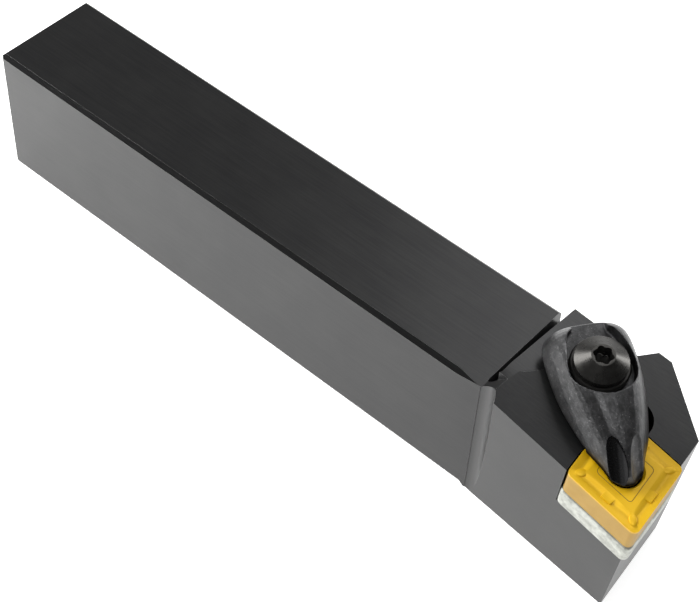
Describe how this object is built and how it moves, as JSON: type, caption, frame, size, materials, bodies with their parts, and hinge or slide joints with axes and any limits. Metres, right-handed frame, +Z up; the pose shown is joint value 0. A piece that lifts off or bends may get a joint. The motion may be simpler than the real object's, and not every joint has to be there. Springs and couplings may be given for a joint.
{
  "type": "turning tool holder",
  "caption": "External turning tool holder with a rectangular shank, an offset head, a rhombic insert on a shim and a forged top clamp.",
  "frame": {"origin": "centre of the shank's rear face", "axes": "+X along the shank towards the cutting end, +Z up, +Y towards the locating side, away from the tip"},
  "size_m": [0.1699, 0.0319, 0.0463],
  "materials": {
    "blackened_steel": "ground, blackened, satin",
    "forged_steel": "blackened forging, slightly rough",
    "turned_steel": "turned, dark satin",
    "coated_carbide": "gold coating, satin",
    "ground_carbide": "ground, pale, slightly rough",
    "spring_steel": "bright drawn wire"
  },
  "bodies": {
    "holder": {"tool_body": "blackened_steel", "shim": "ground_carbide", "shim_screw": "turned_steel", "insert": "coated_carbide", "clamp_spring": "spring_steel"},
    "clamp_body": {"clamp": "forged_steel", "clamp_washer": "turned_steel"},
    "screw_body": {"clamp_screw": "turned_steel"}
  },
  "joints": [
    {"name": "clamp_lift", "type": "slide", "parent": "holder", "child": "clamp_body", "axis": [0.104, -0.104, 0.9891], "range_m": [0, 0.003], "deforming": ["clamp_spring"]},
    {"name": "screw_turn", "type": "hinge", "parent": "clamp_body", "child": "screw_body", "pos_m": [0.14673, -0.00062, 0.02043], "axis": [0.104, -0.104, 0.9891], "range_deg": [0, 1350]}
  ],
  "couplings": [
    {"joint": "screw_turn", "follows": "clamp_lift", "rad_per_m": 7854}
  ]
}
